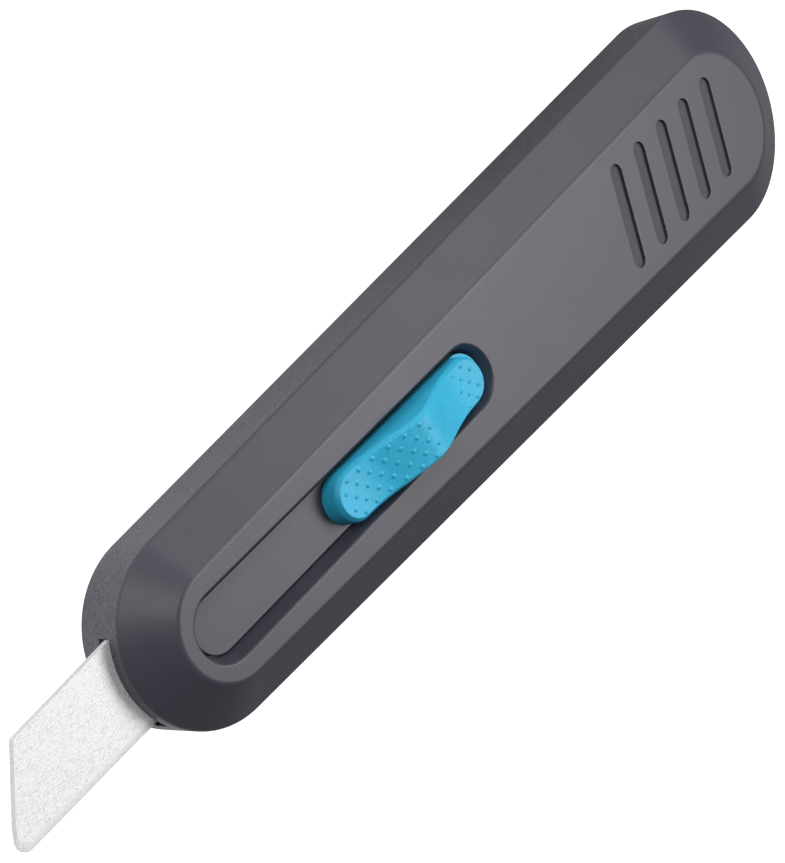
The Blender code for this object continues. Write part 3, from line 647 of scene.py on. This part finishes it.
def housing_lower():
    profile = shell_profile(Z_SEAM - SEAM_GAP / 2, -1)
    shell = loft("housing_lower", [flat(housing_level(inset), z) for inset, z in reversed(profile)])
    add(shell, prism("lip", housing_offset(WALL + LIP_GAP), *LIP_Z))
    hollow = [flat(housing_offset(WALL + inset), z) for inset, z in HOLLOW_LEVELS]
    cut(shell, loft("cavity", hollow))
    for side in (-1, 1):
        y = side * RIB_Y
        add(shell, box("rib", *RIB_X, y - RIB_HALF_T, y + RIB_HALF_T, *RIB_Z))
    bore = ((HEAD_BORE_MOUTH_R, -CLEAR), (HEAD_BORE_MOUTH_R, 0.0), (HEAD_BORE_R, HEAD_BORE_LIP),
            (HEAD_BORE_R, SCREW_SEAT_Z), (SHANK_BORE_R, SCREW_SEAT_Z + HAIR),
            (SHANK_BORE_R, SHANK_BORE_TOP_Z))
    for x, y in (station(name) for name in HOUSING_SCREWS):
        add(shell, turned("pad", x, y, ((SCREW_PAD_R, SCREW_SEAT_Z), (SCREW_PAD_R, Z_SEAM))))
        cut(shell, turned("bore", x, y, bore))
    shade(shell)
    dress(shell, HOUSING_PLASTIC, "housing", "lower_shell")


def track():
    """The slot's floor strip with its rounded edge."""
    low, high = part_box("track_plate")
    rear, front = low.x / MM - SHIFT_X, high.x / MM - SHIFT_X
    half = high.y / MM
    z0 = low.z / MM
    strip = ((TRACK_STRIP_EDGE, z0), (0.0, z0 + TRACK_STRIP_EDGE),
             (0.0, z0 + TRACK_STRIP_T - TRACK_STRIP_EDGE), (TRACK_STRIP_EDGE, z0 + TRACK_STRIP_T))
    plate = loft("slot_floor", [flat(stadium(rear + half, front - half, half - inset, MEDIUM), z)
                                for inset, z in strip])
    land = SLOT_FOOT_R - HAIRLINE
    edge = [(land, z0 + TRACK_LAND_FOOT)]
    edge += fillet((land, z0), (land, Z_TRACK), (0.0, Z_TRACK), TRACK_FILLET, 6)
    add(plate, loft("land", [flat(slot_outline(r), z) for r, z in edge]))
    cut(plate, box("stem_slot", *STEM_SLOT_X, -STEM_SLOT_HALF_W, STEM_SLOT_HALF_W, *STEM_SLOT_Z))
    shade(plate)
    dress(plate, HOUSING_PLASTIC, "housing", "track_plate")


# ---------------------------------------------------------------- thumb slider

def dome_centres():
    """Staggered rows of two and three on the front slope and on the rear end of the pad."""
    centres = []
    for start, rows in ((DOME_FRONT_X, DOME_FRONT_ROWS), (DOME_REAR_X, DOME_REAR_ROWS)):
        for row in range(rows):
            across = (-2, 0, 2) if row % 2 else (-1, 1)
            centres += [(start + row * DOME_PITCH_X, k * DOME_PITCH_Y) for k in across]
    return centres


def dome_height(x, y, centres):
    """Height of the domes' surface above the pad at a point."""
    best = 0.0
    for cx, cy in centres:
        d2 = ((x - cx) ** 2 + (y - cy) ** 2) / DOME_R ** 2
        if d2 < 1.0:
            best = max(best, DOME_H * (1 - d2) ** DOME_FULLNESS)
    return best


def pad_outline(front_x, r):
    """The pad's whole outline, counter-clockwise from its front tip, as (x, y)."""
    span = front_x - PAD_REAR_X
    side = [(front_x - span * k / PAD_SIDE_STEPS, r) for k in range(1, PAD_SIDE_STEPS)]
    half = (arc(front_x, 0.0, r, 0.0, math.pi / 2, PAD_END_STEPS) + side
            + arc(PAD_REAR_X, 0.0, r, math.pi / 2, math.pi, PAD_END_STEPS))
    return half + [(x, -y) for x, y in reversed(half[1:-1])]


def leaning(x, y, height):
    """A point of the pad's side at a height above the face: the sides draw in with height."""
    return (x, y * (1 - PAD_DRAFT * height / PAD_R), Z_FACE + height)


def pad_ring(inset, drop):
    """The pad's rim at one level below its top."""
    outline = pad_outline(PAD_FRONT_X, PAD_R - inset)
    return [leaning(x, y, smooth_height(x) - drop) for x, y in outline]


def pad_top(bm, rim, centres):
    """Fills the pad's top inside its rim with lines from side to side, raised by the domes."""
    count = len(rim)
    half = count // 2
    previous = [rim[0]] * (PAD_ACROSS_STEPS + 1)
    for i in range(1, half + 1):
        left, right = rim[i], rim[count - i] if i < half else rim[half]
        line = [left]
        for k in range(1, PAD_ACROSS_STEPS):
            if i == half:
                line.append(left)
                continue
            p = left.co.lerp(right.co, k / PAD_ACROSS_STEPS)
            x, y = p.x / MM - SHIFT_X, p.y / MM
            p.z += dome_height(x, y, centres) * MM
            line.append(bm.verts.new(p))
        line.append(right)
        for k in range(PAD_ACROSS_STEPS):
            corners = (previous[k], previous[k + 1], line[k + 1], line[k])
            corners = tuple(dict.fromkeys(corners))
            if len(corners) > 2:
                bm.faces.new(corners)
        previous = line


def thumb_pad():
    """The pad's wall, its bevelled edge and its domed top as one surface."""
    foot_h = Z_TRACK + SLIDER_LIFT - Z_FACE
    soft = 0.05
    slant = PAD_BEVEL_DROP / PAD_BEVEL_IN
    foot = [leaning(x, y, foot_h) for x, y in pad_outline(PAD_FOOT_FRONT_X, PAD_R)]
    bm = bmesh.new()
    loops = skin(bm, [foot, pad_ring(0.0, PAD_BEVEL_DROP + soft),
                      pad_ring(soft / 2, PAD_BEVEL_DROP - soft / 2),
                      pad_ring(PAD_BEVEL_IN - soft, soft * slant), pad_ring(PAD_BEVEL_IN, soft / 4),
                      pad_ring(PAD_BEVEL_IN + soft, 0.0)])
    pad_top(bm, loops[-1], dome_centres())
    return new_object("pad", bm)


def thumb_slider():
    z0 = Z_TRACK + SLIDER_LIFT
    top = z0 + LEDGE_H
    levels = ((0.0, z0 + HAIR), (0.0, top - 0.12), (0.04, top - 0.03), (0.12, top))
    rings = [flat(stadium(LEDGE_REAR_X, LEDGE_FRONT_X, LEDGE_R - inset, MEDIUM), z)
             for inset, z in levels]
    slider = loft("thumb_pad", rings)
    add(slider, thumb_pad(),
        box("stem", *STEM_X, -STEM_HALF_W, STEM_HALF_W, STEM_FOOT_Z, z0 + STEM_OVERLAP))
    shade(slider, 40)
    dress(slider, SLIDER_PLASTIC, "slider", "thumb_slider")


# ---------------------------------------------------------------- blade

def blade_outline(inset):
    """Top view of the blade with its cutting edge moved in by inset, counter-clockwise."""
    edge_steps, spine_steps, spine_r = 12, 5, 0.3
    tip_x = BLADE_TIP_X + BLADE_CORNER_R
    spine_x, spine_y = BLADE_SPINE_TIP
    slope = (tip_x - spine_x) / (BLADE_EDGE_Y - spine_y)
    edge_y = BLADE_EDGE_Y - inset
    front = (tip_x - inset * slope, edge_y)
    rear_x = tip_x - BLADE_LENGTH - BLADE_CORNER_R
    rear = (rear_x + inset * slope, edge_y)
    heel = (rear_x + (BLADE_EDGE_Y - BLADE_SPINE_Y) * slope, BLADE_SPINE_Y)
    taper = (BLADE_TAPER_X, BLADE_SPINE_Y)
    points = fillet(BLADE_SPINE_TIP, front, rear, BLADE_CORNER_R, edge_steps)
    points += fillet(front, rear, heel, BLADE_CORNER_R, edge_steps)
    points += fillet(rear, heel, taper, spine_r, spine_steps)
    points += [taper]
    return points + fillet(taper, BLADE_SPINE_TIP, front, spine_r, spine_steps)


def ceramic_blade():
    z0, z1 = BLADE_Z
    middle = (z0 + z1) / 2
    full, short = blade_outline(0.0), blade_outline(BLADE_BEVEL)
    blade = loft("ceramic_blade", [flat(short, z0), flat(full, middle - BLADE_EDGE_T / 2),
                                   flat(full, middle + BLADE_EDGE_T / 2), flat(short, z1)])
    first_x = station("blade_peg_1")[0]
    middle_x, y = station("blade_peg_2")
    hole = ((BLADE_HOLE_R, z0 - CLEAR), (BLADE_HOLE_R, z1 + CLEAR))
    for x in (first_x, middle_x, 2 * middle_x - first_x):
        cut(blade, turned("hole", x, y, hole))
    shade(blade, 25)
    dress(blade, BLADE_FACE, "carrier", "blade")
    # Faces that stand upright take the darker ceramic, which is painted shade along the blade's
    # edges.
    blade.data.materials.append(BLADE_GROUND_AND_PAINTED_SHADE)
    for face in blade.data.polygons:
        face.material_index = int(abs(face.normal.z) < 0.5)


# ---------------------------------------------------------------- springs

def hook(x, r, z, degrees):
    """Points of a spring's end hook round the upright peg at x."""
    angles = (math.radians(d) for d in degrees)
    return [(x + r * math.cos(a), r * math.sin(a), z) for a in angles]


def hooked_spring(name, x1, z, r, turns, node):
    """An extension spring from the housing's pin to a moving peg at x1."""
    hook_r = PIN_R + WIRE_R + HOOK_GAP
    start, end = PIN_X + hook_r + HOOK_LEAD, x1 - hook_r - HOOK_LEAD
    per_turn = 24
    points = hook(PIN_X, hook_r, z, range(-90, -271, -15))
    for i in range(turns * per_turn + 1):
        a = math.pi / 2 + 2 * math.pi * i / per_turn
        x = start + (end - start) * i / (turns * per_turn)
        points.append((x, r * math.sin(a), z + r * math.cos(a)))
    points += hook(x1, hook_r, z, range(90, -91, -15))
    curve = bpy.data.curves.new(name, "CURVE")
    curve.dimensions = "3D"
    curve.bevel_depth = WIRE_R * MM
    curve.bevel_resolution = 2
    curve.use_fill_caps = True
    spline = curve.splines.new("POLY")
    spline.points.add(len(points) - 1)
    for target, point in zip(spline.points, points):
        target.co = (*place(point), 1.0)
    wire = in_scene(name + "_curve", curve)
    graph = bpy.context.evaluated_depsgraph_get()
    mesh = bpy.data.meshes.new_from_object(wire.evaluated_get(graph))
    bpy.data.objects.remove(wire)
    spring = in_scene(name, mesh)
    mesh.shade_smooth()
    mesh.materials.clear()
    mesh.materials.append(SPRING_STEEL)
    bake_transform(spring)
    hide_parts(node)


def latch_leaf():
    """The latch's leaf, which the carrier's tray presses down as it comes back over it."""
    low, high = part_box("latch_spring")
    middle_y, half_w = (low.y + high.y) / 2 / MM, (high.y - low.y) / 2 / MM
    rear, nose = low.x / MM - SHIFT_X, high.x / MM - SHIFT_X
    base, top = low.z / MM + LATCH_HALF_T, high.z / MM - LATCH_HALF_T
    corners = ((rear, base), (rear + 5.4, base), (nose - 2.3, top - 0.2), (nose - 0.9, top),
               (nose - 0.2, top - 0.8))
    path = [corners[0]]
    for before, corner, after, r in zip(corners, corners[1:], corners[2:], LATCH_BENDS):
        path += fillet(before, corner, after, r, 8)
    path.append(corners[-1])
    section = rounded_rectangle(half_w, LATCH_HALF_T, LATCH_EDGE_R)
    rings = []
    for i, (x, z) in enumerate(path):
        along = Vector(path[min(i + 1, len(path) - 1)]) - Vector(path[max(i - 1, 0)])
        nx, nz = -along.normalized().y, along.normalized().x
        rings.append([(x + v * nx, middle_y + u, z + v * nz) for u, v in section])
    leaf = loft("latch_leaf", rings)
    x, y = station("latch_rivet")
    cut(leaf, turned("hole", x, y, ((LATCH_HOLE_R, base - CLEAR), (LATCH_HOLE_R, base + CLEAR))))
    shade(leaf, 30)
    dress(leaf, BRIGHT_STEEL, "housing", "latch_spring")
    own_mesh(leaf)


# ---------------------------------------------------------------- other CAD nodes

def dress_cad_nodes():
    """Every CAD node that is still shown gets a procedural material and crisp smooth shading."""
    finishes = {
        "slider_shoe": INNER_PLASTIC, "blade_carrier": INNER_PLASTIC,
        "housing_screw_1": BLACKED_STEEL, "housing_screw_2": BLACKED_STEEL,
        "housing_screw_3": BLACKED_STEEL,
    }
    for name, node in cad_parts.items():
        if node.hide_render:
            continue
        node.data.materials.clear()
        node.data.materials.append(finishes.get(name, BRIGHT_STEEL))
        shade(node, 30)


# ---------------------------------------------------------------- floor, light and camera

def floor():
    """A pale floor, white to the camera, that lights the knife more from ahead than from behind."""
    half, below = 3.0, 0.0002
    dimmest, brightest, to_camera = 0.05, 1.4, 1.05
    g = Graph("pale_floor", 0.9)
    g.shader.inputs["Specular IOR Level"].default_value = 0.1
    soft = g.noise(g.stretched(1, 1, 1), 0.01, 2.0)
    g.paint(g.ramp(soft, (0.0, 0.3), (1.0, 0.32)))
    g.shader.inputs["Emission Color"].default_value = (1.0, 1.0, 1.0, 1.0)
    seen = g.node("ShaderNodeLightPath").outputs["Is Camera Ray"]
    split = g.node("ShaderNodeSeparateXYZ")
    g.link(g.stretched(1, 1, 1), split.inputs["Vector"])
    ahead = g.math("SUBTRACT", split.outputs["X"], split.outputs["Y"])
    glow = g.math("ADD", g.math("MULTIPLY", ahead, 0.008), 0.2)
    glow = g.math("MAXIMUM", g.math("MINIMUM", glow, brightest), dimmest)
    strength = g.math("MAXIMUM", glow, g.math("MULTIPLY", seen, to_camera))
    g.link(strength, g.shader.inputs["Emission Strength"])
    mesh = bpy.data.meshes.new("floor")
    corners = [(-half, -half, 0), (half, -half, 0), (half, half, 0), (-half, half, 0)]
    mesh.from_pydata(corners, [], [(0, 1, 2, 3)])
    mesh.materials.append(g.material)
    plane = in_scene("floor", mesh)
    plane.location.z = -below


def softbox(name, direction, size, watts):
    """A round soft light that faces the knife from one direction."""
    distance = 0.9
    light = bpy.data.lights.new(name, "AREA")
    light.shape = "DISK"
    light.size = size
    light.energy = watts
    lamp = in_scene(name, light)
    away = Vector(direction).normalized()
    lamp.location = away * distance
    lamp.rotation_mode = "QUATERNION"
    lamp.rotation_quaternion = away.to_track_quat("Z", "Y")


def lights():
    """Three soft lights, and a world that is white to the camera and a faint fill to the knife."""
    fill = 0.06
    softbox("rear_top", (-0.52, 0.12, 0.85), 0.6, 5.8)
    softbox("rear_left", (-0.55, -0.61, 0.57), 0.4, 1.9)
    softbox("left", (0.4, -0.68, 0.6), 0.5, 2.9)
    world = bpy.data.worlds.new("studio")
    world.use_nodes = True
    tree = world.node_tree
    background = tree.nodes["Background"]
    seen = tree.nodes.new("ShaderNodeLightPath").outputs["Is Camera Ray"]
    strength = tree.nodes.new("ShaderNodeMath")
    strength.operation = "MAXIMUM"
    strength.inputs[1].default_value = fill
    tree.links.new(seen, strength.inputs[0])
    tree.links.new(strength.outputs["Value"], background.inputs["Strength"])
    background.inputs["Color"].default_value = (1.0, 1.0, 1.0, 1.0)
    bpy.context.scene.world = world


def camera():
    """A long lens above the nose's left, turned so that the knife lies along the diagonal."""
    data = bpy.data.cameras.new("camera")
    data.sensor_width = 36.0
    data.lens = 84.05
    data.clip_start = 0.01
    data.clip_end = 20.0
    eye = Matrix.Translation((0.16693, -0.09172, 0.21366))
    right = Vector((-0.579285, 0.480794, 0.658229))
    up = Vector((-0.583162, -0.808656, 0.077450))
    back = right.cross(up).normalized()
    obj = in_scene("camera", data)
    obj.matrix_world = eye @ Matrix((right, up, back)).transposed().to_4x4()
    bpy.context.scene.camera = obj


housing_upper()
housing_lower()
track()
thumb_slider()
ceramic_blade()
hooked_spring("slider_spring", SHOE_PEG_X, SLIDER_SPRING_Z, 0.6, 14,
              "slider_return_spring")
hooked_spring("carrier_spring", CARRIER_PEG_X, CARRIER_SPRING_Z, 1.35, 16,
              "carrier_return_spring")
latch_leaf()
dress_cad_nodes()
floor()
lights()
camera()
bpy.context.scene.view_settings.view_transform = "Standard"
